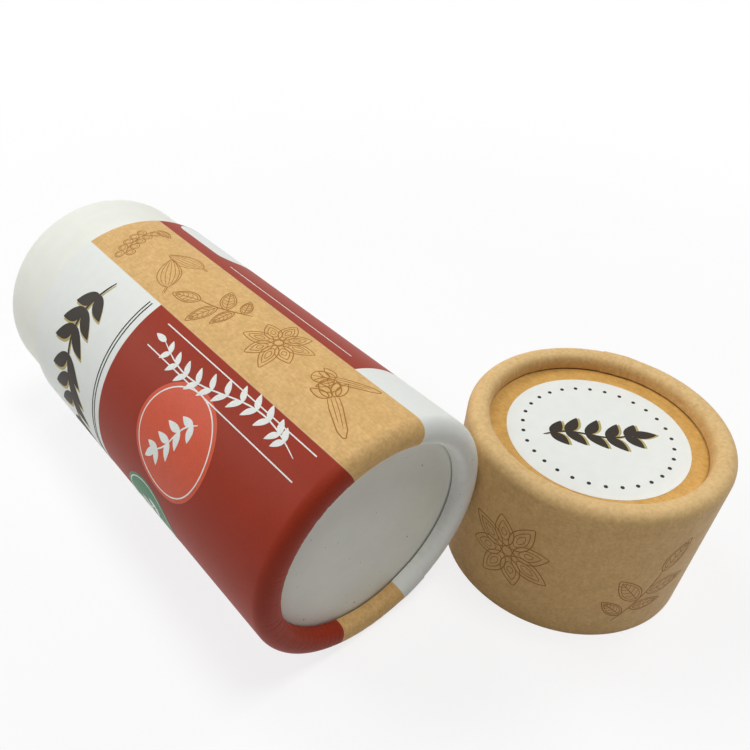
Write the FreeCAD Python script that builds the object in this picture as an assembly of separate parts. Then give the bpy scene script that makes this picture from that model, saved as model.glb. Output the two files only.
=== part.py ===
import FreeCAD, Part
import math
import os

# A gift tube of wound paperboard, opened: the tube lies on its side and its lid stands beside it.
# The closed end of the tube and the top of the lid are rolled inward over a recessed disc, and the
# paper wraps turn in over the rolls. An inner tube stands out of the printed outer one as a neck,
# faced with white card. The lid, lined with the same card, slides over that neck until its mouth
# meets the shoulder, flush with the outer tube.

# Driving dimensions, in millimetres
OUTSIDE_DIAMETER = 55.0
BODY_LENGTH = 93.0
NECK_PROJECTION = 17.5
LID_HEIGHT = 37.0
STICKER_MARGIN = 3.7

# Rolled edges: width across the roll, and the leg tucked in below its rounded part
BODY_RIM_WIDTH = 5.4
LID_RIM_WIDTH = 4.8
BASE_TUCK = 0.9
LID_TUCK = 1.4

# Flats that a roll's half circle is drawn in
ROLL_FLAT_COUNT = 4

# Board, card and paper thicknesses
BODY_BOARD = 1.3
NECK_BOARD = 1.0
BASE_BOARD = 1.5
LID_DISC_BOARD = 1.5
NECK_CARD = 0.25
LINING_CARD = 0.25
WRAP_PAPER = 0.15
STICKER_PAPER = 0.1

# Paper wraps close with a glued lap, which starts at an angle from +X: downward on the tube,
# anticlockwise from above on the lid
LAP_WIDTH = 7.5
BODY_LAP_ANGLE = 55.0
LID_LAP_ANGLE = 34.0

# Fits, on each side: glued plies, and the lid over the neck
GLUE_LINE = 0.04
LID_CLEARANCE = 0.2

# Where the lid and its sticker lie: the lid's axis in front of the tube's base, the free gap
# between the two, and the sticker's centre off the lid's axis
LID_AHEAD = 8.0
STANDING_GAP = 0.3
STICKER_OFFSET_X = -0.2
STICKER_OFFSET_Y = -0.4

FULL_TURN = 360.0
HALF_TURN = 180.0
QUARTER_TURN = 90.0
AXIS = FreeCAD.Vector(0, 0, 1)
AXIS_POINT = FreeCAD.Vector(0, 0, 0)

# Walls of the tube from the outside in
outside_radius = OUTSIDE_DIAMETER / 2
board_offset = WRAP_PAPER + GLUE_LINE
body_bore = outside_radius - board_offset - BODY_BOARD
neck_radius = body_bore - GLUE_LINE
neck_bore = neck_radius - NECK_BOARD

# The neck's facing, and from there outward the lining and the wall of the lid that slides over it
facing_bore = neck_radius + GLUE_LINE
spigot_radius = facing_bore + NECK_CARD
socket_radius = spigot_radius + LID_CLEARANCE
lining_radius = socket_radius + LINING_CARD
lid_bore = lining_radius + GLUE_LINE

# Heights along the tube and the lid, measured from the crest of the roll
base_face = BODY_RIM_WIDTH / 2 + BASE_TUCK
base_inside = base_face + BASE_BOARD
neck_end = BODY_LENGTH + NECK_PROJECTION
lid_face = LID_RIM_WIDTH / 2 + LID_TUCK
lid_inside = lid_face + LID_DISC_BOARD

# The lid stands clear of the rounded corner of the tube's base
corner_radius = BODY_RIM_WIDTH / 2
corner_reach = outside_radius + corner_radius + STANDING_GAP
lid_aside = outside_radius - corner_radius + math.sqrt(corner_reach ** 2 - (LID_AHEAD + corner_radius) ** 2)

# The origin is on the table, midway under the pair
tube_x = -lid_aside / 2
base_y = (LID_AHEAD + outside_radius - neck_end) / 2
lid_x = tube_x + lid_aside
lid_y = base_y - LID_AHEAD


def on_section(radius, height):
    """A point of a round piece's half section, from its axis and from its closed end."""
    return FreeCAD.Vector(radius, 0, height)


def wall(inner, outer, start, end):
    """A plain round wall between two heights."""
    tube = Part.makeCylinder(outer, end - start, on_section(0, start))
    return tube.cut(Part.makeCylinder(inner, end - start, on_section(0, start)))


def disc(radius, start, end):
    return Part.makeCylinder(radius, end - start, on_section(0, start))


def roll(rim_width, offset):
    """The rolled edge at a depth below the outer surface, from the wall over the crest to the leg."""
    middle = rim_width / 2
    radius = middle - offset
    points = []
    for step in range(ROLL_FLAT_COUNT + 1):
        angle = math.pi * step / ROLL_FLAT_COUNT
        across = outside_radius - middle + radius * math.cos(angle)
        points.append(on_section(across, middle - radius * math.sin(angle)))
    return points


def turned(outline, sweep=FULL_TURN):
    """Turns a closed half section round the axis."""
    section = Part.Face(Part.makePolygon(outline + outline[:1]))
    return section.revolve(AXIS_POINT, AXIS, sweep)


def rolled_tube(rim_width, tuck, length, bore):
    """A board tube whose closed end is rolled inward and tight, down to the disc that it holds."""
    crest = roll(rim_width, board_offset)
    leg_end = rim_width / 2 + tuck
    mouth = [on_section(bore, length), on_section(crest[0].x, length)]
    return turned(crest + [on_section(crest[-1].x, leg_end), on_section(bore, leg_end)] + mouth)


def turned_in_paper(rim_width, tuck, length, offset, sweep=FULL_TURN):
    """One thickness of wrapping paper along the wall, over the roll and down its tucked leg."""
    outer = roll(rim_width, offset)
    inner = roll(rim_width, offset + WRAP_PAPER)
    leg_end = rim_width / 2 + tuck
    leg = [on_section(outer[-1].x, leg_end), on_section(inner[-1].x, leg_end)]
    mouth = [on_section(inner[0].x, length), on_section(outer[0].x, length)]
    return turned(outer + leg + inner[::-1] + mouth, sweep)


def wrap(rim_width, tuck, length, lap_start):
    """A paper wrap, with the lap where its end covers its start."""
    sheet = turned_in_paper(rim_width, tuck, length, 0)
    lap = turned_in_paper(rim_width, tuck, length, -WRAP_PAPER, math.degrees(LAP_WIDTH / outside_radius))
    lap.rotate(AXIS_POINT, AXIS, lap_start)
    return sheet.fuse(lap).removeSplitter()


def lay_down(shape):
    """Turns a piece of the tube onto its side, its closed end to the front."""
    shape.rotate(AXIS_POINT, FreeCAD.Vector(1, 0, 0), -QUARTER_TURN)
    shape.translate(FreeCAD.Vector(tube_x, base_y, outside_radius))
    return shape


def stand_lid(shape):
    """Stands a piece of the lid on the table, mouth down."""
    shape.rotate(AXIS_POINT, FreeCAD.Vector(1, 0, 0), HALF_TURN)
    shape.translate(FreeCAD.Vector(lid_x, lid_y, LID_HEIGHT))
    return shape


def tube_pieces():
    """The outer tube in its printed wrap, the faced neck, and the base disc clamped between them."""
    return {
        "body_tube": rolled_tube(BODY_RIM_WIDTH, BASE_TUCK, BODY_LENGTH, body_bore),
        "body_wrap": wrap(BODY_RIM_WIDTH, BASE_TUCK, BODY_LENGTH, BODY_LAP_ANGLE),
        "neck_tube": wall(neck_bore, neck_radius, base_inside, neck_end),
        "neck_facing": wall(facing_bore, spigot_radius, BODY_LENGTH, neck_end),
        "base_disc": disc(body_bore - GLUE_LINE, base_face, base_inside),
    }


def lid_pieces():
    """The lid tube in its kraft wrap, the disc held under its roll by the lining, and the sticker."""
    opening_radius = outside_radius - LID_RIM_WIDTH
    sticker = disc(opening_radius - STICKER_MARGIN, lid_face - STICKER_PAPER, lid_face)
    sticker.translate(FreeCAD.Vector(STICKER_OFFSET_X, -STICKER_OFFSET_Y, 0))
    return {
        "lid_tube": rolled_tube(LID_RIM_WIDTH, LID_TUCK, LID_HEIGHT, lid_bore),
        "lid_wrap": wrap(LID_RIM_WIDTH, LID_TUCK, LID_HEIGHT, -LID_LAP_ANGLE),
        "lid_lining": wall(socket_radius, lining_radius, lid_inside, LID_HEIGHT),
        "lid_disc": disc(lid_bore - GLUE_LINE, lid_face, lid_inside),
        "lid_sticker": sticker,
    }


def main():
    os.makedirs("parts", exist_ok=True)
    for name, shape in tube_pieces().items():
        lay_down(shape).exportStep(f"parts/{name}.step")
    for name, shape in lid_pieces().items():
        stand_lid(shape).exportStep(f"parts/{name}.step")


main()
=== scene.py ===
import math

import bmesh
import bpy
import numpy as np
from bpy.props import FloatProperty, FloatVectorProperty, PointerProperty
from mathutils import Matrix, Vector


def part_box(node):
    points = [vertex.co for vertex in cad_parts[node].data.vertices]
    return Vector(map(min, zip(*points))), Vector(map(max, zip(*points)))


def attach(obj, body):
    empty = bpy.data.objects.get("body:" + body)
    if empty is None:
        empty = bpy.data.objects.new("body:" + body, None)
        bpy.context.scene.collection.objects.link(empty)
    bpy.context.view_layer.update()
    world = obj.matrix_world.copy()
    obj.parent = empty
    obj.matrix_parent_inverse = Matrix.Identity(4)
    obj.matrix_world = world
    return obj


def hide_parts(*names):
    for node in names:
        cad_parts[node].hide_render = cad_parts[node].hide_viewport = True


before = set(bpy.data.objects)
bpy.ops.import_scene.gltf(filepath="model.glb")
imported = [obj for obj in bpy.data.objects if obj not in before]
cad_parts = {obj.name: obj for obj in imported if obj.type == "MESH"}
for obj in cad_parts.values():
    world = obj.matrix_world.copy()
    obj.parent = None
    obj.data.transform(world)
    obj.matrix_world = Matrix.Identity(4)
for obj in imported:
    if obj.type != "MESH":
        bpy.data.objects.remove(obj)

bl_info = {
    "name": "Gift Tube",
    "version": (1, 0, 0),
    "blender": (4, 5, 0),
    "location": "3D View > Sidebar > Gift Tube",
    "description": "Dresses a round paperboard gift tube and its slip-over lid in paper, board and print",
    "category": "Object",
}

MM = 0.001
# Printed shapes that cross lie a hair apart, on one of a few levels
HAIR = 0.001 * MM
HAIR_LEVELS = 12
# Points closer than this are one
WELD = 0.00001 * MM

# Columns of points round a piece
WRAP_COLUMNS = 1080
CARD_COLUMNS = 480
BOARD_COLUMNS = 240

# Rows of points along a rolled edge: its wall, its roll and its tucked leg
PAPER_FACE_ROWS = (16, 34, 4)
PAPER_BACK_ROWS = (3, 14, 2)
BOARD_ROWS = (3, 14, 3)

# Softened edges of card and of board discs
CARD_LIP = 0.11 * MM
DISC_EDGE = 0.2 * MM

# Half the width of a lap's cut edge, in radians, and where a lap fades out, in lap widths
LAP_CUT = 0.0008
LAP_FADE = (0.7, 1.15)

# The inner half of a roll is pressed a little squarer than its outer half
INNER_PRESS = 0.74

# Fields of the print: degrees from the tube's top, and millimetres above the crest of its base
STRIPES = ((-16.6, 20.65), (162.1, 202.3))
LEFT_RED_TOP = 60.0
RIGHT_RED_FOOT = 19.3
PANEL_TURN = -82.5
PANEL_HEIGHT = 81.3
PANEL_HALF = (22.7, 7.3, 0.0)
PANEL_CORNER = 4.0
# Degrees that the print runs askew for each millimetre, and that the roll draws it to one side
PRINT_SKEW = 0.015
ROLL_DRAW = 1.1
# Softness of printed edges, in degrees and in millimetres
STRIPE_BLUR = 0.05
FIELD_BLUR = 0.04

# Places of drawings on the tube, in the same measures; rules run from one height to another
STRIPE_MIDDLES = (0.6, 180.6)
BADGE = (58, 34)
SIDE_BADGE = (104, 40)
DARK_BRANCH = (78, 74.6)
PALE_BRANCHES = ((30, 30), (150, 30))
RULES = ((24.0, 6, 54), (36.0, 6, 54), (144.0, 6, 54), (156.0, 6, 54), (-24.0, 24, 66), (-154.0, 24, 66))

# Lamps: name, place and diameter in metres, and power in watts
LAMPS = (("key", (0.088, -0.153, 0.831), 0.26, 2.7),
         ("back", (0.0, 0.425, 0.736), 0.36, 1.7),
         ("back_left", (-0.492, 0.492, 0.488), 0.4, 2.2),
         ("right", (0.62, -0.05, 0.58), 0.25, 1.0))
LAMP_AIM = Vector((0.0, 0.0, 0.02))
WHITE_LIGHT = (1.0, 1.0, 1.0, 1.0)

# Places of the solids, in metres
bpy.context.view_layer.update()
facing_low, facing_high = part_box("neck_facing")
neck_low, neck_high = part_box("neck_tube")
base_low, base_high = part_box("base_disc")
board_low, board_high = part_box("body_tube")
lid_board_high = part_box("lid_tube")[1]
lid_disc_low, lid_disc_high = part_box("lid_disc")
lining_low, lining_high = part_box("lid_lining")
sticker_low, sticker_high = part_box("lid_sticker")

tube_axis_x = (facing_low.x + facing_high.x) / 2
tube_axis_z = (facing_low.z + facing_high.z) / 2
outside_radius = tube_axis_z
lid_axis_x = (lid_disc_low.x + lid_disc_high.x) / 2
lid_axis_y = (lid_disc_low.y + lid_disc_high.y) / 2
wrap_depth = outside_radius - (board_high.z - board_low.z) / 2
tube_crest_y = board_low.y - wrap_depth
lid_height = lid_board_high.z + wrap_depth

body_length = facing_low.y - tube_crest_y
neck_end = facing_high.y - tube_crest_y
base_face = base_low.y - tube_crest_y
base_inside = base_high.y - tube_crest_y
lid_face = lid_height - lid_disc_high.z
lid_inside = lid_height - lid_disc_low.z

spigot_radius = (facing_high.x - facing_low.x) / 2
neck_radius = (neck_high.x - neck_low.x) / 2
base_radius = (base_high.x - base_low.x) / 2
lining_radius = (lining_high.x - lining_low.x) / 2
lid_disc_radius = (lid_disc_high.x - lid_disc_low.x) / 2
sticker_radius = (sticker_high.x - sticker_low.x) / 2
sticker_centre = (sticker_low + sticker_high) / 2

# Millimetres round the wall for each degree
wall_degree = math.radians(outside_radius / MM)


def printed(red, green, blue):
    """A screen colour, 0 to 255, as Blender's linear values."""
    parts = [value / 255 for value in (red, green, blue)]
    return tuple(p / 12.92 if p <= 0.04045 else ((p + 0.055) / 1.055) ** 2.4 for p in parts)


def length(name, millimetres, description):
    return FloatProperty(name=name, description=description, default=millimetres * MM, min=0.0,
                         precision=5, subtype="DISTANCE", unit="LENGTH")


def angle(name, degrees, description):
    return FloatProperty(name=name, description=description, default=math.radians(degrees),
                         subtype="ANGLE")


def colour(name, red, green, blue, description):
    return FloatVectorProperty(name=name, description=description, default=printed(red, green, blue),
                               min=0.0, max=1.0, size=3, subtype="COLOR")


class GiftTubeSizes(bpy.types.PropertyGroup):
    """Sizes of the paper, the board and the print"""
    body_rim: length("Base roll", 5.4, "Width across the rolled edge of the base")
    lid_rim: length("Lid roll", 4.8, "Width across the rolled edge of the lid")
    paper: length("Wrap paper", 0.15, "Thickness of the wrapping paper")
    body_board: length("Body board", 1.3, "Thickness of the outer tube's board")
    neck_board: length("Neck board", 1.0, "Thickness of the neck's board")
    card: length("Card", 0.25, "Thickness of the neck's facing and of the lid's lining")
    lap: length("Lap", 7.5, "Width of the glued lap of a wrap")
    body_lap_turn: angle("Body lap", -145.0, "Where the body wrap's lap ends, from the top of the tube")
    lid_lap_turn: angle("Lid lap", 34.0, "Where the lid wrap's lap ends, anticlockwise from above")
    crease_depth: length("Crease depth", 0.045, "Depth of the small pleats where paper turns over a roll")
    base_seat: length("Base seat", 0.28, "Open line between the base's tucked edge and its disc")
    lid_seat: length("Lid seat", 0.34, "Open line between the lid's tucked edge and its disc")
    ink: length("Ink", 0.02, "How far print stands on the paper")
    line: length("Line", 0.22, "Width of the drawn lines")


class GiftTubeColours(bpy.types.PropertyGroup):
    """Colours of the paper, the board and the print"""
    kraft: colour("Kraft paper", 221, 180, 118, "Brown paper of the stripes and the lid's wrap")
    kraft_disc: colour("Lid disc", 211, 164, 88, "Brown face of the lid's disc")
    kraft_board: colour("Board", 176, 138, 92, "Cut edge of the wound board")
    red: colour("Red field", 153, 50, 28, "Large printed fields")
    white: colour("White field", 238, 241, 236, "Printed white fields")
    face_white: colour("White face", 240, 241, 231, "White board and card")
    badge: colour("Badge", 212, 90, 62, "Round badge on the red field")
    green: colour("Green badge", 72, 128, 92, "Round badge at the side")
    dark: colour("Dark ink", 38, 29, 19, "Branches on the white fields")
    gold: colour("Gold ink", 186, 168, 104, "Second colour behind the dark branches")
    drawing: colour("Drawing ink", 166, 114, 48, "Line drawings on the brown paper")
    edge: colour("Edge line", 240, 216, 176, "Thin pale line between two fields")


def sizes():
    return bpy.context.scene.gift_tube_sizes


def stacked(*parts):
    """Points from their coordinates, or faces from their corners."""
    return np.stack(np.broadcast_arrays(*parts), -1)


def on_tube(turn, height, radius):
    """Points of the lying tube: turned from its top towards -X, at a height above the base's crest."""
    return stacked(tube_axis_x - radius * np.sin(turn), tube_crest_y + height,
                   tube_axis_z + radius * np.cos(turn))


def upright(x, y, top):
    """Points round an upright axis: turned from +X, anticlockwise from above, below a top."""
    def place(turn, depth, radius):
        return stacked(x + radius * np.cos(turn), y + radius * np.sin(turn), top - depth)
    return place


on_lid = upright(lid_axis_x, lid_axis_y, lid_height)
under_sticker = upright(sticker_centre.x, sticker_centre.y, sticker_high.z)


def smooth_step(low, high, value):
    t = np.clip((value - low) / (high - low), 0.0, 1.0)
    return t * t * (3.0 - 2.0 * t)


def linked(name, data):
    """A new object in the scene."""
    holder = bpy.data.objects.new(name, data)
    bpy.context.scene.collection.objects.link(holder)
    return holder


def made_object(name, points, faces, layers, sharp=30.0):
    """A mesh object with outward faces, its named flat layouts, and smooth shading up to an angle."""
    mesh = bpy.data.meshes.new(name)
    mesh.from_pydata(points.tolist(), [], faces.tolist())
    for layer, values in layers.items():
        corners = np.ascontiguousarray(values, np.float32).ravel()
        mesh.uv_layers.new(name=layer).data.foreach_set("uv", corners)
    work = bmesh.new()
    work.from_mesh(mesh)
    bmesh.ops.remove_doubles(work, verts=work.verts, dist=WELD)
    bmesh.ops.recalc_face_normals(work, faces=work.faces)
    work.to_mesh(mesh)
    work.free()
    mesh.shade_smooth()
    mesh.set_sharp_from_angle(angle=math.radians(sharp))
    return linked(name, mesh)


def turned(name, place, turns, radius, height, along=None, sharp=40.0):
    """A round piece: a closed half section taken round the axis, one column of points for each turn."""
    columns = len(turns)
    radius = np.broadcast_to(radius, (columns, np.shape(radius)[-1]))
    height = np.broadcast_to(height, radius.shape)
    rows = radius.shape[1]
    points = place(turns[:, None], height, radius).reshape(-1, 3)
    i, j = np.meshgrid(np.arange(columns), np.arange(rows), indexing="ij")
    ahead, above = (i + 1) % columns, (j + 1) % rows
    corners = ((i, j), (ahead, j), (ahead, above), (i, above))
    faces = stacked(*[a * rows + b for a, b in corners]).reshape(-1, 4)

    def laid(across, up):
        """The four corners of each face in a flat layout."""
        square = ((i, j), (i + 1, j), (i + 1, j + 1), (i, j + 1))
        return np.stack([stacked(across[a], up[b]) for a, b in square], 2)

    layers = {}
    if along is not None:
        # The sheet's own layout: degrees round the piece, and millimetres along the section
        around = np.degrees(np.append(turns, turns[0] + 2 * math.pi))
        layers["sheet"] = laid(around, np.append(along, along[0]))
    # A plain layout for the export: the whole skin as one rectangle
    margin = 0.005
    first = stacked(radius[0], height[0])
    reach = np.linalg.norm(np.diff(np.vstack([first, first[:1]]), axis=0), axis=1)
    share = np.append(0.0, np.cumsum(reach) / reach.sum()) * (1.0 - 2 * margin) + margin
    layers["OFBake"] = laid(np.linspace(margin, 1.0 - margin, columns + 1), share)
    return made_object(name, points, faces, layers, sharp)


def even_turns(count):
    return np.arange(count) * 2 * math.pi / count


def rolled_section(rim, bottom, top, offset, rows):
    """One face of a rolled edge: radius, height, outward direction and millimetres along the sheet."""
    wall_rows, roll_rows, leg_rows = rows
    half = rim / 2
    bend = np.linspace(0, math.pi, roll_rows)
    press = np.where(bend > math.pi / 2, INNER_PRESS, 1.0)
    across = np.sign(np.cos(bend)) * np.abs(np.cos(bend)) ** press
    wall = np.linspace(top, half, wall_rows)[:-1]
    leg = np.linspace(half, bottom, leg_rows)[1:]
    radius = np.hstack([np.full(len(wall), outside_radius - offset),
                        outside_radius - half + (half - offset) * across,
                        np.full(len(leg), outside_radius - rim + offset)])
    height = np.hstack([wall, half - (half - offset) * np.abs(np.sin(bend)) ** press, leg])
    out_radius = np.hstack([np.ones(len(wall)), np.cos(bend), -np.ones(len(leg))])
    out_height = np.hstack([np.zeros(len(wall)), -np.sin(bend), np.zeros(len(leg))])
    along = np.hstack([wall, half - half * bend, half - half * math.pi - (leg - half)]) / MM
    return radius, height, out_radius, out_height, along


def pleats(turns, along, rim, seed):
    """Small creases across a roll, deepest where the paper is crowded at its inner side."""
    chance = np.random.default_rng(seed)
    count = 420
    middle = chance.uniform(turns[0], turns[-1], count)
    width = chance.uniform(0.15, 0.42, count) * MM / outside_radius
    depth = chance.uniform(0.15, 1.0, count) ** 2
    start = chance.uniform(0.35, 1.5, count)
    rise = 0.9
    half = rim / 2 / MM
    bend = (half - along) / half
    gap = (turns[:, None] - middle) / width
    ridge = depth * np.exp(-gap ** 2)
    reach = smooth_step(0.0, rise, bend[None, :] - start[:, None])
    return -sizes().crease_depth * (ridge @ reach)


def paper_wrap(name, place, rim, bottom, top, edge, seed):
    """A paper wrap with its glued lap, over the roll and down its tucked leg, one paper thick."""
    paper = sizes().paper
    turns = np.linspace(edge + LAP_CUT, edge + 2 * math.pi - LAP_CUT, WRAP_COLUMNS)
    radius, height, out_radius, out_height, along = rolled_section(rim, bottom, top, 0.0, PAPER_FACE_ROWS)
    past = (turns[-1] - turns) * outside_radius / sizes().lap
    lap = paper * (1.0 - smooth_step(*LAP_FADE, past))
    lift = lap[:, None] + pleats(turns, along, rim, seed)
    inner = [part[::-1] for part in rolled_section(rim, bottom, top, paper, PAPER_BACK_ROWS)]
    across = np.hstack([radius + out_radius * lift, np.tile(inner[0], (WRAP_COLUMNS, 1))])
    up = np.hstack([height + out_height * lift, np.tile(inner[1], (WRAP_COLUMNS, 1))])
    return turned(name, place, turns, across, up, np.append(along, inner[4]), sharp=35.0)


def board_tube(name, place, rim, bottom, top, thickness):
    """A tube of wound board whose closed end is rolled in, with its plies showing at the cut mouth."""
    radius, height = rolled_section(rim, bottom, top, wrap_depth, BOARD_ROWS)[:2]
    outer = outside_radius - wrap_depth
    bore = outer - thickness
    ply_count = 4
    dip = 0.05 * MM
    setback = 0.06 * MM
    plies = np.linspace(outer, bore, num=17)
    waves = np.abs(np.sin(np.linspace(0, ply_count * math.pi, num=17)))
    mouth = top - setback + dip * waves
    radius = np.hstack([radius, [bore], plies[::-1][:-1]])
    height = np.hstack([height, [bottom], mouth[::-1][:-1]])
    return turned(name, place, even_turns(BOARD_COLUMNS), radius, height)


def rounded_wall(inner, outer, start, end, lip, rows=4):
    """Section of a plain round wall whose far end is softened."""
    quarter = np.linspace(0, math.pi / 2, num=6)
    shoulder = end - lip
    across = np.hstack([np.full(rows, outer), outer - lip + lip * np.cos(quarter),
                        inner + lip - lip * np.sin(quarter), np.full(rows, inner)])
    up = np.hstack([np.linspace(start, shoulder, rows, endpoint=False),
                    shoulder + lip * np.sin(quarter), shoulder + lip * np.cos(quarter),
                    np.linspace(shoulder, start, rows + 1)[1:]])
    return across, up


def disc_section(radius, face, back, edge, dish=0.0):
    """Section of a disc: a face that may be dished, a softened edge and a flat back."""
    out = np.linspace(0.0, 1.0, num=13)
    bend = np.linspace(0, math.pi / 2, num=5)[1:]
    across = np.hstack([out * (radius - edge), radius - edge + edge * np.sin(bend), [radius, 0.0]])
    up = np.hstack([face + dish * (1.0 - out ** 2), face + edge - edge * np.cos(bend), [back, back]])
    return across, up


def on_tube_side(shape, lift):
    """Flat drawing to the tube's wall: x round from the top, y along from the base, in millimetres."""
    return on_tube(shape[..., 0] * MM / outside_radius, shape[..., 1] * MM, outside_radius + lift)


def on_lid_side(shape, lift):
    """Flat drawing to the lid's wall: x round from +X, y up from the mouth, in millimetres."""
    depth = lid_height - shape[..., 1] * MM
    return on_lid(shape[..., 0] * MM / outside_radius, depth, outside_radius + lift)


def on_sticker(shape, lift):
    """Flat drawing to the sticker's face, from its centre, in millimetres."""
    return stacked(sticker_centre.x + shape[..., 0] * MM, sticker_centre.y + shape[..., 1] * MM,
                   sticker_high.z + lift)


def inlay(name, shapes, face, lift):
    """Printed shapes as thin closed slabs that lie in the surface they are printed on."""
    points, faces, base = [], [], 0
    for k, (grid, closed) in enumerate(shapes):
        n, m = grid.shape[:2]
        top = lift + k % HAIR_LEVELS * HAIR
        points += [face(grid, top).reshape(-1, 3), face(grid, -lift).reshape(-1, 3)]
        spans = n if closed else n - 1
        i, j = np.meshgrid(np.arange(spans), np.arange(m - 1), indexing="ij")
        near, far = i * m + j, (i + 1) % n * m + j
        skin = stacked(near, far, far + 1, near + 1).reshape(-1, 4)
        faces += [skin + base, skin[:, ::-1] + base + n * m]
        row = np.arange(spans)
        for side in (0, m - 1):
            here, there = row * m + side, (row + 1) % n * m + side
            faces.append(stacked(here, there, there + n * m, here + n * m) + base)
        if not closed:
            for end in (0, n - 1):
                here = end * m + np.arange(m - 1)
                faces.append(stacked(here, here + 1, here + 1 + n * m, here + n * m) + base)
        base += 2 * n * m
    return made_object(name, np.concatenate(points), np.concatenate(faces), {})


def resampled(points, closed):
    """Points at even steps along a line."""
    step = 0.3
    points = np.asarray(points, float)
    if closed:
        points = np.vstack([points, points[:1]])
    walk = np.append(0.0, np.cumsum(np.linalg.norm(np.diff(points, axis=0), axis=1)))
    count = max(int(walk[-1] / step) + 1, 4)
    stops = np.linspace(0.0, walk[-1], count, endpoint=not closed)
    return stacked(*[np.interp(stops, walk, points[:, k]) for k in (0, 1)])


def pen(points, width, closed=False, taper=0.35):
    """A drawn line of a given width, thinner towards its open ends."""
    line = resampled(points, closed)
    run = (np.roll(line, -1, 0) - np.roll(line, 1, 0)) if closed else np.gradient(line, axis=0)
    run = run / np.linalg.norm(run, axis=1, keepdims=True)
    half = np.full(len(line), width / 2)
    if not closed:
        end = np.linspace(0, 1, len(line))
        half = half * (taper + (1 - taper) * np.sqrt(np.clip(np.sin(math.pi * end) * 1.6, 0, 1)))
    across = stacked(-run[:, 1], run[:, 0]) * half[:, None]
    return np.stack([line + across, line - across], 1), closed


def leaf_width(t):
    return np.sin(math.pi * t ** 0.8) ** 0.85


def leaf_run(base, tip):
    """The way from a leaf's base to its tip, and the direction across it."""
    run = np.subtract(tip, base)
    return run, np.array([-run[1], run[0]]) / np.linalg.norm(run)


def filled_leaf(base, tip, width, bend=0.0):
    """A solid leaf between two points, bent to one side."""
    run, side = leaf_run(base, tip)
    t = np.linspace(0.01, 0.99, 18)
    spine = base + t[:, None] * run + (bend * np.sin(math.pi * t))[:, None] * side
    across = np.linspace(-0.5, 0.5, 6)
    half = leaf_width(t) * width
    return spine[:, None, :] + np.outer(half, across)[..., None] * side, False


def ray(turn):
    """A direction on the drawing, turned from x in degrees."""
    return np.array([math.cos(math.radians(turn)), math.sin(math.radians(turn))])


def circle(count):
    """Points of a circle of radius 1."""
    turn = even_turns(count)
    return stacked(np.cos(turn), np.sin(turn))


def filled_spot(x, y, radius):
    """A solid round spot."""
    rings = np.linspace(0.004, 1.0, max(3, int(radius * 2.5)))
    edge = circle(max(16, int(radius * 16)))
    return radius * rings[None, :, None] * edge[:, None, :] + (x, y), True


def ring_line(x, y, radius, width):
    return pen(radius * circle(72) + (x, y), width, True)


def set_down(shapes, x, y, turn=0.0, scale=1.0):
    """Moves, turns and scales flat shapes."""
    cosine, sine = scale * ray(turn)
    spin = np.array([[cosine, sine], [-sine, cosine]])
    return [(grid @ spin + (x, y), closed) for grid, closed in shapes]


def on_wall(turn, height, shapes, spin=0.0, scale=1.0):
    """Sets flat shapes down at a turn in degrees and a height in millimetres."""
    return set_down(shapes, turn * wall_degree, height, spin, scale)


def leaf_outline(base, tip, width, line):
    """The drawn outline of a leaf."""
    run, side = leaf_run(base, tip)
    t = np.linspace(0.0, 1.0, 22)
    half = leaf_width(t)[:, None] * width / 2
    spine = base + t[:, None] * run
    return pen(np.vstack([spine + half * side, (spine - half * side)[::-1][1:-1]]), line, True)


def drawn_leaf(base, tip, width, line):
    """An outlined leaf with a second line inside, its middle rib and side veins."""
    run, side = leaf_run(base, tip)
    shapes = [leaf_outline(base, tip, width, line),
              leaf_outline(base + 0.1 * run, tip - 0.12 * run, width * 0.76, line * 0.7),
              pen([base + t * run for t in np.linspace(0.02, 0.9, 8)], line * 0.8)]
    for t in (0.26, 0.42, 0.58, 0.72):
        for hand in (1, -1):
            reach = hand * width * 0.34 * leaf_width(np.array(t + 0.08))
            shapes.append(pen([base + t * run, base + (t + 0.06) * run + reach * 0.6 * side,
                               base + (t + 0.14) * run + reach * side], line * 0.6))
    return shapes


def bay_sprig(line):
    """A branch with five leaves."""
    bend = np.linspace(0, 1, 14)
    stem = stacked(1.6 * np.sin(bend * 2.2), -9 + 13 * bend)
    shapes = [pen(stem, line * 1.3)]
    for at, turn, size in ((13, 84, 7.5), (8, 32, 7.5), (6, 150, 7.5), (4, 22, 6.0), (2, 158, 5.6)):
        shapes += drawn_leaf(stem[at], stem[at] + size * ray(turn), size * 0.46, line)
    return shapes


def anise_star(line):
    """A star of eight pods, each open over its seed."""
    shapes = [ring_line(0, 0, 1.0, line)]
    for k in range(8):
        out = ray(45 * k + 9)
        size = 8.4 if k % 2 else 7.4
        shapes.append(leaf_outline(1.1 * out, size * out, 3.7, line))
        shapes.append(leaf_outline(2.2 * out, (size - 1.3) * out, 2.2, line * 0.8))
        shapes.append(leaf_outline(3.2 * out, (size - 2.6) * out, 1.1, line * 0.7))
    return shapes


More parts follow.
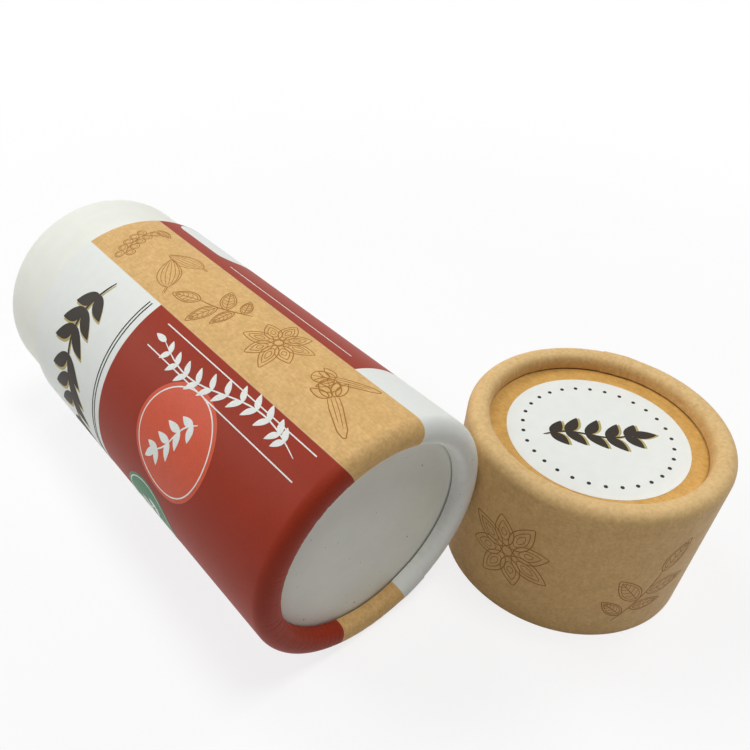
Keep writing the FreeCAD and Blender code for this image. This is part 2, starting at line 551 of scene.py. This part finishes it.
def clove_bud(line):
    """A clove: a slim stalk, four points and a round bud."""
    bud = circle(29) * (2.0, 1.9) + (0, 5.2)
    stalk = [(-1.0, 2.2), (-1.15, -1.0), (-0.85, -6.5), (-0.2, -8.2),
             (0.35, -8.0), (0.95, -6.3), (1.25, -1.0), (1.05, 2.2)]
    shapes = [pen(stalk, line), pen([(-0.3, 1.8), (-0.4, -2.0), (-0.2, -6.0)], line * 0.7),
              pen([(0.45, 1.6), (0.4, -1.0), (0.35, -4.6)], line * 0.7),
              pen(bud, line, True),
              pen([(-1.2, 5.6), (0.0, 4.6), (1.2, 5.7)], line * 0.7),
              pen([(0.0, 4.6), (0.1, 6.9)], line * 0.7)]
    for x, y in ((-3.4, 5.4), (3.5, 5.2), (-1.6, 6.1), (1.7, 6.2)):
        shapes.append(leaf_outline((x * 0.22, 1.9), (x, y), 1.9, line))
    return shapes


def seed_pod(line):
    """A ribbed pod with its short stalk."""
    shapes = [leaf_outline((0, -6.6), (0, 6.8), 6.6, line)]
    for reach in (0.68, 0.3, -0.1, -0.48, -0.8):
        t = np.linspace(0.06, 0.95, 16)
        rib = stacked(reach * 3.3 * leaf_width(t), -6.6 + 13.4 * t)
        shapes.append(pen(rib, line * (0.7 if abs(reach) < 0.7 else 0.9)))
    shapes += [pen([(0, -6.5), (0.3, -7.8), (0.9, -8.8)], line * 1.2),
               pen([(0.5, -6.4), (0.8, -7.6), (1.4, -8.5)], line * 0.8)]
    return shapes


def pepper_sprig(line):
    """A hanging string of corns below one leaf."""
    bend = np.linspace(0, 1, 12)
    stem = stacked(1.8 * np.sin(bend * 2.6), 7.5 - 15 * bend)
    shapes = [pen(stem, line)]
    for k in range(2, 12):
        hand = 1 if k % 2 else -1
        x, y = stem[k] + (hand * 1.5, -0.2)
        shapes += [ring_line(x, y, 1.25, line), ring_line(x + 0.1, y - 0.1, 0.75, line * 0.6)]
    return shapes + drawn_leaf(stem[0], stem[0] + (-5.2, -2.6), 2.9, line)


def leaf_branch(reach, pairs, leaf, width, stalk):
    """A solid branch: a thin stalk along x with pairs of leaves."""
    t = np.linspace(0, 1, 24)
    stem = stacked(reach * (t - 0.5), 0.05 * reach * np.sin(2 * math.pi * t))
    shapes = [pen(stem, stalk)]
    for k in range(pairs):
        at = stem[int(2 + k * 19 / max(pairs - 1, 1))]
        size = leaf * (0.75 + 0.25 * math.sin(math.pi * (k + 0.6) / pairs))
        for hand in (1, -1):
            tip = at + size * np.array([math.cos(0.9), hand * math.sin(0.9)])
            shapes.append(filled_leaf(at, tip, width, hand * -0.06 * size))
    end = stem[-1]
    return shapes + [filled_leaf(end - (0.4, 0), end + (leaf * 0.9, 0), width)]


# Drawings along a stripe: motif, degrees from the stripe's middle, height, turn and scale
STRIPE_MOTIFS = ((clove_bud, 4, 12.5, 28, 1.0), (clove_bud, -7, 16.5, -35, 0.85),
                 (anise_star, -2, 33, 10, 0.92), (bay_sprig, 1, 51.5, -18, 0.95),
                 (seed_pod, 5, 68, 35, 0.8), (seed_pod, -6, 70, -20, 0.72),
                 (pepper_sprig, 0, 84, 62, 0.85))

# Drawings round the lid: motif, turn and scale
LID_MOTIFS = ((anise_star, 12, 1.25), (bay_sprig, -20, 1.25), (anise_star, 30, 1.2),
              (seed_pod, 4, 1.2), (pepper_sprig, 15, 1.25), (bay_sprig, 24, 1.2))


def seen_rays(tree):
    """1 for what the camera sees, straight, mirrored or through glass, and 0 for bounced light."""
    path = tree.nodes.new("ShaderNodeLightPath")
    seen = path.outputs["Is Camera Ray"]
    for kind in ("Is Glossy Ray", "Is Transmission Ray"):
        either = tree.nodes.new("ShaderNodeMath")
        either.operation = "MAXIMUM"
        tree.links.new(seen, either.inputs[0])
        tree.links.new(path.outputs[kind], either.inputs[1])
        seen = either.outputs[0]
    return seen


class Finish:
    """A node material in the making."""

    def __init__(self, name, roughness, specular, sheen=0.0):
        self.material = bpy.data.materials.new(name)
        self.material.use_nodes = True
        self.tree = self.material.node_tree
        self.shader = self.tree.nodes["Principled BSDF"]
        self.shader.inputs["Roughness"].default_value = roughness
        self.shader.inputs["Specular IOR Level"].default_value = specular
        self.shader.inputs["Sheen Weight"].default_value = sheen
        self.place = self.add("ShaderNodeTexCoord").outputs["Object"]

    def add(self, kind, inputs=None, **settings):
        node = self.tree.nodes.new(kind)
        for key, value in settings.items():
            setattr(node, key, value)
        for key, value in (inputs or {}).items():
            if isinstance(value, bpy.types.NodeSocket):
                self.tree.links.new(value, node.inputs[key])
            else:
                node.inputs[key].default_value = value
        return node

    def sheet(self):
        """Degrees round the piece and millimetres along its sheet."""
        layout = self.add("ShaderNodeUVMap", uv_map="sheet").outputs["UV"]
        split = self.add("ShaderNodeSeparateXYZ", {"Vector": layout})
        return split.outputs["X"], split.outputs["Y"]

    def on_sheet(self):
        """Millimetres round and along a wrap."""
        around, along = self.sheet()
        inputs = {0: self.times(around, wall_degree), 1: along}
        return self.add("ShaderNodeCombineXYZ", inputs).outputs[0]

    def on_disc(self):
        """Millimetres on a disc that faces along Y or Z."""
        split = self.add("ShaderNodeSeparateXYZ", {"Vector": self.place})
        up = self.maths("ADD", split.outputs["Y"], split.outputs["Z"])
        flat = self.add("ShaderNodeCombineXYZ", {0: split.outputs["X"], 1: up}).outputs[0]
        return self.vectors("MULTIPLY", flat, (1.0 / MM,) * 3)[0]

    def maths(self, operation, first, second=0.0, third=0.0):
        inputs = {0: first, 1: second, 2: third}
        return self.add("ShaderNodeMath", inputs, operation=operation).outputs[0]

    def times(self, first, second):
        return self.maths("MULTIPLY", first, second)

    def vectors(self, operation, first, second=(0.0, 0.0, 0.0)):
        return self.add("ShaderNodeVectorMath", {0: first, 1: second}, operation=operation).outputs

    def step(self, value, edge, soft, low=0.0, high=1.0):
        """Goes from low to high as the value passes an edge."""
        inputs = {"Value": value, "From Min": edge - soft, "From Max": edge + soft,
                  "To Min": low, "To Max": high}
        return self.add("ShaderNodeMapRange", inputs, interpolation_type="SMOOTHSTEP").outputs[0]

    def between(self, value, low, high, soft):
        """1 between two edges and 0 outside them."""
        return self.times(self.step(value, low, soft), self.step(value, high, soft, low=1.0, high=0.0))

    def mix(self, amount, first, second, blend="MIX"):
        inputs = {0: amount, 6: first, 7: second}
        return self.add("ShaderNodeMix", inputs, data_type="RGBA", blend_type=blend).outputs[2]

    def stained(self, paint, where, strength, red, green, blue):
        """Lays a screen colour over part of the paint."""
        return self.mix(self.times(where, strength), paint, (*printed(red, green, blue), 1.0))

    def grain(self, size, detail=2.0, squeeze=1.0):
        """Noise of a size in millimetres on the piece itself, drawn out along Y by a squeeze."""
        place = self.vectors("MULTIPLY", self.place, (1.0, squeeze, 1.0))[0]
        inputs = {"Vector": place, "Scale": 1.0 / (size * MM), "Detail": detail, "Roughness": 0.55}
        return self.add("ShaderNodeTexNoise", inputs).outputs["Fac"]

    def specks(self, layout, spacing, size, share):
        """Small scattered spots on a flat layout, in a share of the cells of a grid."""
        inputs = {"Vector": layout, "Scale": 1.0 / spacing}
        cell = self.add("ShaderNodeTexVoronoi", inputs, voronoi_dimensions="2D")
        pick = self.add("ShaderNodeSeparateColor", {"Color": cell.outputs["Color"]}).outputs[0]
        reach = size / spacing
        near = self.step(cell.outputs["Distance"], edge=reach, soft=0.35 * reach, low=1.0, high=0.0)
        return self.times(near, self.step(pick, edge=1.0 - share, soft=0.01))

    def varied(self, paint, size, amount, detail=2.0):
        """Lightens and darkens a colour by noise."""
        noise = self.grain(size, detail)
        factor = self.step(noise, edge=0.5, soft=0.25, low=1.0 - amount, high=1.0 + amount)
        return self.mix(1.0, paint, factor, "MULTIPLY")

    def mottled(self, paint, size, amount, squeeze=1.0):
        """Varies brown paper by noise: its dark places are also deeper in colour."""
        tint = amount * np.array([1.0, 1.25, 1.7, 0.0])
        deep = self.mix(1.0, paint, tuple(1.0 - tint), "MULTIPLY")
        pale = self.mix(1.0, paint, tuple(1.0 + tint), "MULTIPLY")
        noise = self.grain(size, 3.0, squeeze)
        return self.mix(self.step(noise, edge=0.5, soft=0.22), deep, pale)

    def kraft(self, paint, layout):
        """Brown paper: soft clouds, short fibres, dark and pale specks."""
        paint = self.mottled(paint, size=2.4, amount=0.05)
        paint = self.mottled(paint, size=0.7, amount=0.065)
        paint = self.mottled(paint, size=0.3, amount=0.055, squeeze=0.16)
        dark = self.specks(layout, spacing=2.3, size=0.15, share=0.22)
        paint = self.stained(paint, dark, 0.14, 98, 62, 30)
        pale = self.specks(layout, spacing=1.7, size=0.17, share=0.25)
        return self.stained(paint, pale, 0.16, 240, 214, 166)

    def done(self, paint, tooth=0.16, depth=0.012):
        """Connects the colour and a fine surface grain, its size and depth in millimetres."""
        self.tree.links.new(paint, self.shader.inputs["Base Color"])
        inputs = {"Strength": 0.6, "Distance": depth * MM, "Height": self.grain(tooth, detail=3.0)}
        relief = self.add("ShaderNodeBump", inputs)
        self.tree.links.new(relief.outputs["Normal"], self.shader.inputs["Normal"])
        return self.material


def shade(name):
    return (*getattr(bpy.context.scene.gift_tube_colours, name), 1.0)


def printed_paper():
    """Body wrap: two brown stripes, red and white fields, and a thin pale line where they meet."""
    finish = Finish("printed_paper", roughness=0.5, specular=0.16)
    around, along = finish.sheet()
    flat = finish.on_sheet()
    kraft = finish.kraft(shade("kraft"), flat)
    red = finish.varied(shade("red"), size=0.35, amount=0.06)
    red = finish.varied(red, size=5.0, amount=0.03)
    white = finish.varied(shade("white"), size=2.5, amount=0.012)
    # The print runs a little askew on the tube, and the paper is drawn to one side over the roll
    aside = finish.step(along, edge=0.0, soft=2.5, low=ROLL_DRAW, high=0.0)
    askew = finish.maths("MULTIPLY_ADD", along, PRINT_SKEW, finish.maths("ADD", around, aside))
    left = finish.between(askew, STRIPES[0][1], STRIPES[1][0], STRIPE_BLUR)
    left_red = finish.step(along, LEFT_RED_TOP, FIELD_BLUR, low=1.0, high=0.0)
    right_red = finish.step(along, RIGHT_RED_FOOT, FIELD_BLUR)
    # Rounded white panel near the neck, on the red of the other side
    offset = finish.vectors("SUBTRACT", flat, (PANEL_TURN * wall_degree, PANEL_HEIGHT, 0.0))[0]
    offset = finish.vectors("ABSOLUTE", offset)[0]
    offset = finish.vectors("SUBTRACT", offset, PANEL_HALF)[0]
    offset = finish.vectors("MAXIMUM", offset)[0]
    reach = finish.vectors("LENGTH", offset)["Value"]
    right_red = finish.times(right_red, finish.step(reach, PANEL_CORNER, FIELD_BLUR))
    right_red = finish.times(finish.maths("SUBTRACT", 1.0, left), right_red)
    field = finish.mix(finish.maths("ADD", finish.times(left, left_red), right_red), white, red)
    stripe = finish.maths("ADD", *[finish.between(askew, *ends, STRIPE_BLUR) for ends in STRIPES])
    sheet = finish.mix(stripe, field, kraft)
    edge = 0.0
    for line in STRIPES[0] + STRIPES[1]:
        edge = finish.maths("ADD", finish.between(askew, line - 0.2, line + 0.2, soft=0.12), edge)
    sheet = finish.mix(finish.times(edge, 0.3), sheet, shade("edge"))
    # The print cracks a little where the paper is turned over the roll
    crown = finish.between(along, low=-5.0, high=0.8, soft=1.2)
    worn = finish.step(finish.grain(0.22, detail=3.0), edge=0.64, soft=0.05)
    sheet = finish.stained(sheet, finish.times(worn, crown), 0.07, 226, 170, 140)
    dust = finish.specks(flat, spacing=4.0, size=0.13, share=0.12)
    sheet = finish.stained(sheet, finish.times(dust, crown), 0.45, 60, 50, 40)
    return finish.done(sheet)


def kraft_paper():
    """Lid wrap: brown paper, paler along the crest of the roll: rubbed wear with a painted highlight."""
    finish = Finish("kraft_paper", roughness=0.58, specular=0.22, sheen=0.1)
    along = finish.sheet()[1]
    paint = finish.kraft(shade("kraft"), finish.on_sheet())
    # Paler over the crest of the roll: partly rubbed wear, partly a painted highlight where the light
    # catches the crest
    crest = finish.between(along, low=-3.6, high=1.4, soft=1.6)
    rub_and_highlight = finish.step(finish.grain(0.9, detail=3.0), edge=0.5, soft=0.25, low=0.1, high=0.55)
    paint = finish.stained(paint, crest, rub_and_highlight, 236, 208, 154)
    return finish.done(paint, tooth=0.14, depth=0.014)


def kraft_disc_face():
    """Lid disc: plain brown paper."""
    finish = Finish("kraft_disc", roughness=0.6, specular=0.28)
    paint = finish.kraft(shade("kraft_disc"), finish.on_disc())
    return finish.done(paint, tooth=0.14, depth=0.014)


def wound_board():
    """Raw board: layered brown plies with loose fibres."""
    finish = Finish("wound_board", roughness=0.85, specular=0.15)
    paint = finish.varied(shade("kraft_board"), size=0.22, amount=0.16, detail=3.0)
    paint = finish.varied(paint, size=1.4, amount=0.08)
    return finish.done(paint, tooth=0.12, depth=0.04)


def white_face(name, dusty=False):
    """White board or card: a faint cloud, fine tooth and, on the base, a little dust."""
    finish = Finish(name, roughness=0.55, specular=0.32)
    paint = finish.varied(shade("face_white"), size=6.0, amount=0.018)
    paint = finish.varied(paint, size=0.4, amount=0.012)
    if dusty:
        flat = finish.on_disc()
        dust = finish.maths("MAXIMUM", finish.specks(flat, spacing=7.0, size=0.2, share=0.2),
                            finish.specks(flat, spacing=3.1, size=0.1, share=0.1))
        paint = finish.stained(paint, dust, 0.62, 74, 72, 60)
    return finish.done(paint, tooth=0.25, depth=0.008)


def sticker_paper():
    """Sticker: smooth white paper with a faint smudge."""
    finish = Finish("sticker_paper", roughness=0.42, specular=0.42)
    paint = finish.varied(shade("white"), size=3.0, amount=0.014)
    smudge = finish.step(finish.grain(9.0, detail=4.0), edge=0.7, soft=0.06)
    paint = finish.stained(paint, smudge, 0.12, 190, 186, 176)
    return finish.done(paint, tooth=0.2, depth=0.006)


def ink(name, tone, roughness=0.5):
    """Printed ink, broken up a little by the paper's tooth."""
    finish = Finish(name, roughness, specular=0.2)
    paint = finish.varied(shade(tone), size=0.3, amount=0.07, detail=3.0)
    paint = finish.varied(paint, size=2.0, amount=0.03)
    return finish.done(paint, depth=0.01)


def fitted(piece, material, body, slot, *nodes):
    """Gives a piece its finish and body, and lets it stand for its solids. The slot argument is not used.
    """
    piece.data.materials.append(material)
    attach(piece, body)
    if nodes:
        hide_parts(*nodes)
    return {"FINISHED"}


class PrintedWrap(bpy.types.Operator):
    """Wraps the tube in printed paper, turned in over the rolled base"""
    bl_idname = "gift_tube.printed_wrap"
    bl_label = "Printed wrap"

    def execute(self, context):
        size = sizes()
        bottom = base_face - size.base_seat
        piece = paper_wrap("printed_wrap", on_tube, size.body_rim, bottom, body_length,
                           size.body_lap_turn, seed=4)
        return fitted(piece, printed_paper(), "tube", "printed_paper", "body_wrap")


class TubeBoard(bpy.types.Operator):
    """Makes the wound board under the tube's wrap, seen at its cut mouth"""
    bl_idname = "gift_tube.tube_board"
    bl_label = "Tube board"

    def execute(self, context):
        size = sizes()
        bottom = base_face - 2 * size.base_seat
        piece = board_tube("tube_board", on_tube, size.body_rim, bottom, body_length, size.body_board)
        return fitted(piece, wound_board(), "tube", "kraft_board", "body_tube")


class Neck(bpy.types.Operator):
    """Makes the white neck and its inner tube"""
    bl_idname = "gift_tube.neck"
    bl_label = "Neck"

    def execute(self, context):
        size = sizes()
        inside = spigot_radius - size.card
        section = rounded_wall(inside, spigot_radius, body_length, neck_end, CARD_LIP)
        piece = turned("neck_facing_card", on_tube, even_turns(CARD_COLUMNS), *section)
        fitted(piece, white_face("white_card"), "tube", "white_card", "neck_facing")
        inside = neck_radius - size.neck_board
        section = rounded_wall(inside, neck_radius, base_inside, neck_end, lip=0.3 * MM, rows=12)
        piece = turned("neck_board", on_tube, even_turns(CARD_COLUMNS), *section)
        return fitted(piece, white_face("white_board_wall"), "tube", "white_board", "neck_tube")


class BaseDisc(bpy.types.Operator):
    """Sets the recessed base disc under the tucked edge"""
    bl_idname = "gift_tube.base_disc"
    bl_label = "Base disc"

    def execute(self, context):
        section = disc_section(base_radius, base_face, base_inside, DISC_EDGE, dish=0.1 * MM)
        piece = turned("base_board", on_tube, even_turns(BOARD_COLUMNS), *section)
        return fitted(piece, white_face("white_board", dusty=True), "tube", "white_board", "base_disc")


class LidWrap(bpy.types.Operator):
    """Wraps the lid in brown paper, turned in over its roll"""
    bl_idname = "gift_tube.lid_wrap"
    bl_label = "Lid wrap"

    def execute(self, context):
        size = sizes()
        bottom = lid_face - size.lid_seat
        piece = paper_wrap("lid_paper", on_lid, size.lid_rim, bottom, lid_height,
                           size.lid_lap_turn, seed=9)
        return fitted(piece, kraft_paper(), "lid", "kraft_paper", "lid_wrap")


class LidBoard(bpy.types.Operator):
    """Makes the lid's wound board and the white card that lines it"""
    bl_idname = "gift_tube.lid_board"
    bl_label = "Lid board"

    def execute(self, context):
        size = sizes()
        bottom = lid_face - 2 * size.lid_seat
        glue = 0.04 * MM
        thickness = outside_radius - wrap_depth - lining_radius - glue
        piece = board_tube("lid_board", on_lid, size.lid_rim, bottom, lid_height, thickness)
        fitted(piece, wound_board(), "lid", "kraft_board", "lid_tube")
        section = rounded_wall(lining_radius - size.card, lining_radius, lid_inside, lid_height, CARD_LIP)
        piece = turned("lid_lining_card", on_lid, even_turns(CARD_COLUMNS), *section)
        return fitted(piece, white_face("white_lining"), "lid", "white_card", "lid_lining")


class LidDisc(bpy.types.Operator):
    """Sets the lid's brown disc and its round sticker"""
    bl_idname = "gift_tube.lid_disc"
    bl_label = "Lid disc and sticker"

    def execute(self, context):
        section = disc_section(lid_disc_radius, lid_face, lid_inside, DISC_EDGE)
        piece = turned("lid_board_disc", on_lid, even_turns(BOARD_COLUMNS), *section)
        fitted(piece, kraft_disc_face(), "lid", "kraft_disc", "lid_disc")
        section = disc_section(sticker_radius, 0.0, sticker_high.z - sticker_low.z, edge=0.03 * MM)
        piece = turned("round_sticker", under_sticker, even_turns(BOARD_COLUMNS), *section)
        return fitted(piece, sticker_paper(), "lid", "sticker_paper", "lid_sticker")


class TubePrint(bpy.types.Operator):
    """Prints the drawings, badges and branches on the tube"""
    bl_idname = "gift_tube.tube_print"
    bl_label = "Tube print"

    def execute(self, context):
        line = sizes().line / MM

        def stamp(name, shapes, layer, finish):
            """Lays down one ink, in the first or the second layer."""
            piece = inlay(name, shapes, on_tube_side, layer * sizes().ink)
            return fitted(piece, finish, "tube", "printed_paper")

        drawings = []
        for middle in STRIPE_MIDDLES:
            for motif, aside, height, spin, scale in STRIPE_MOTIFS:
                drawings += on_wall(middle + aside, height, motif(line), spin, scale)
        stamp("tube_drawings", drawings, 1, ink("drawing_ink", "drawing"))

        badge = on_wall(*BADGE, [filled_spot(0, 0, radius=11.6)])
        stamp("round_badge", badge, 1, ink("badge_ink", "badge", roughness=0.46))
        badge = on_wall(*SIDE_BADGE, [filled_spot(0, 0, radius=9.0)])
        stamp("side_badge", badge, 1, ink("green_ink", "green", roughness=0.46))

        twig = leaf_branch(reach=13.0, pairs=4, leaf=4.0, width=1.7, stalk=0.35)
        ring = ring_line(0, 0, radius=10.6, width=0.28)
        pale = on_wall(*BADGE, [ring] + set_down(twig, -1.0, 0, turn=38))
        twig = leaf_branch(reach=9.0, pairs=3, leaf=3.4, width=1.5, stalk=0.3)
        ring = ring_line(0, 0, radius=8.2, width=0.25)
        pale += on_wall(*SIDE_BADGE, [ring] + set_down(twig, -1.0, 0, turn=60))
        twig = leaf_branch(reach=42.0, pairs=11, leaf=3.6, width=1.35, stalk=0.3)
        for place in PALE_BRANCHES:
            pale += on_wall(*place, twig, spin=90)
        for turn, low, high in RULES:
            rule = [(turn * wall_degree, height) for height in np.linspace(low, high, num=40)]
            pale.append(pen(rule, width=0.25, taper=1.0))
        stamp("pale_print", pale, 2, ink("white_ink", "white"))

        branch = leaf_branch(reach=50.0, pairs=9, leaf=8.6, width=3.3, stalk=0.7)
        gold = on_wall(*DARK_BRANCH, set_down(branch, 0.45, -0.5))
        stamp("gold_branch", gold, 1, ink("gold_ink", "gold"))
        dark = on_wall(*DARK_BRANCH, branch)
        for height in (62.0, 62.9):
            rule = [(turn * wall_degree, height) for turn in np.linspace(22, 159, num=80)]
            dark.append(pen(rule, width=0.3, taper=1.0))
        return stamp("dark_branch", dark, 2, ink("dark_ink", "dark"))


class LidPrint(bpy.types.Operator):
    """Prints the drawings on the lid's side and the branch on its sticker"""
    bl_idname = "gift_tube.lid_print"
    bl_label = "Lid print"

    def execute(self, context):
        line = sizes().line / MM
        lift = sizes().ink
        drawings = []
        for k, (motif, spin, scale) in enumerate(LID_MOTIFS):
            turn = 186 + 60 * k
            height = 15.5 if k % 2 else 17.5
            drawings += on_wall(turn, height, motif(line / scale), spin, scale)
        piece = inlay("lid_drawings", drawings, on_lid_side, lift)
        fitted(piece, ink("lid_drawing_ink", "drawing"), "lid", "kraft_paper")

        branch = leaf_branch(reach=19.0, pairs=5, leaf=5.8, width=2.5, stalk=0.5)
        branch = set_down(branch, -1.6, 1.2, turn=-38)
        piece = inlay("sticker_gold", set_down(branch, 0.35, -0.4), on_sticker, lift)
        fitted(piece, ink("sticker_gold_ink", "gold"), "lid", "sticker_paper")
        ring = 15.6
        dots = [filled_spot(*(ring * ray(turn)), radius=0.42) for turn in range(6, 360, 12)]
        piece = inlay("sticker_branch", branch + dots, on_sticker, 2 * lift)
        return fitted(piece, ink("sticker_dark_ink", "dark"), "lid", "sticker_paper")


class Stage(bpy.types.Operator):
    """Sets the pale floor, the soft light and the camera"""
    bl_idname = "gift_tube.stage"
    bl_label = "Stage"

    def lamp(self, name, place, size, power):
        light = bpy.data.lights.new(name, "AREA")
        light.shape = "DISK"
        light.size = size
        light.energy = power
        holder = linked(name, light)
        holder.location = place
        holder.rotation_euler = (LAMP_AIM - Vector(place)).to_track_quat("-Z", "Y").to_euler()

    def floor(self):
        """A floor just below the ink, whose glow keeps shadows pale and takes over away from the pieces."""
        reach = 3.0
        drop = 0.04 * MM
        bounced_white = (0.95, 0.95, 0.95, 1.0)
        seen_white = (0.99, 0.99, 0.99, 1.0)
        square = reach * np.array([(-1, -1), (1, -1), (1, 1), (-1, 1)])
        corners = np.column_stack([square, np.full(4, -drop)])
        plane = made_object("floor", corners, np.array([[0, 1, 2, 3]]), {})
        finish = Finish("pale_floor", roughness=0.9, specular=0.1)
        seen = seen_rays(finish.tree)
        paint = finish.mix(seen, bounced_white, seen_white)
        material = finish.done(finish.varied(paint, size=40.0, amount=0.01))
        glow = finish.add("ShaderNodeEmission", {"Color": WHITE_LIGHT, "Strength": 1.0})
        away = finish.vectors("LENGTH", finish.place)["Value"]
        share = finish.times(seen, finish.step(away, edge=0.22, soft=0.12, low=0.8, high=1.0))
        inputs = {0: share, 1: finish.shader.outputs[0], 2: glow.outputs[0]}
        blend = finish.add("ShaderNodeMixShader", inputs)
        finish.tree.links.new(blend.outputs[0], finish.tree.nodes["Material Output"].inputs["Surface"])
        plane.data.materials.append(material)

    def world(self):
        world = bpy.data.worlds.new("studio")
        world.use_nodes = True
        tree = world.node_tree
        back = tree.nodes["Background"]
        back.inputs["Color"].default_value = WHITE_LIGHT
        # The room gives little light, and looks white
        strength = tree.nodes.new("ShaderNodeMapRange")
        strength.inputs["To Min"].default_value = 0.045
        strength.inputs["To Max"].default_value = 1.0
        tree.links.new(seen_rays(tree), strength.inputs["Value"])
        tree.links.new(strength.outputs[0], back.inputs["Strength"])
        bpy.context.scene.world = world

    def camera(self):
        lens = bpy.data.cameras.new("camera")
        lens.lens = 35.399
        lens.sensor_width = 36.0
        lens.clip_start = 0.005
        lens.shift_x = 0.05122
        lens.shift_y = 0.07829
        place = (-0.092377, -0.098958, 0.135121)
        right = Vector((0.775494, -0.630337, 0.03583))
        up = Vector((0.399209, 0.533525, 0.745643))
        ahead = Vector((0.489123, 0.563938, -0.665382))
        turn = Matrix((right, up, -ahead)).transposed().to_4x4()
        holder = linked("camera", lens)
        holder.matrix_world = Matrix.Translation(place) @ turn
        bpy.context.scene.camera = holder

    def execute(self, context):
        self.floor()
        self.world()
        for lamp in LAMPS:
            self.lamp(*lamp)
        self.camera()
        bpy.context.scene.view_settings.view_transform = "Standard"
        return {"FINISHED"}


class GiftTubePanel(bpy.types.Panel):
    """Lists the pieces of the gift tube"""
    bl_idname = "VIEW3D_PT_gift_tube"
    bl_label = "Gift Tube"
    bl_space_type = "VIEW_3D"
    bl_region_type = "UI"
    bl_category = "Gift Tube"

    def draw(self, context):
        for step in steps:
            self.layout.operator(step.bl_idname)
        for group in (context.scene.gift_tube_sizes, context.scene.gift_tube_colours):
            column = self.layout.column()
            for name in group.__annotations__:
                column.prop(group, name)


steps = (PrintedWrap, TubeBoard, Neck, BaseDisc, LidWrap, LidBoard, LidDisc, TubePrint, LidPrint, Stage)
classes = (GiftTubeSizes, GiftTubeColours, *steps, GiftTubePanel)


def register():
    for item in classes:
        bpy.utils.register_class(item)
    bpy.types.Scene.gift_tube_sizes = PointerProperty(type=GiftTubeSizes)
    bpy.types.Scene.gift_tube_colours = PointerProperty(type=GiftTubeColours)


def unregister():
    del bpy.types.Scene.gift_tube_colours
    del bpy.types.Scene.gift_tube_sizes
    for item in reversed(classes):
        bpy.utils.unregister_class(item)


def main():
    register()
    for step in steps:
        group, name = step.bl_idname.split(".")
        getattr(getattr(bpy.ops, group), name)()


if __name__ == "__main__":
    main()
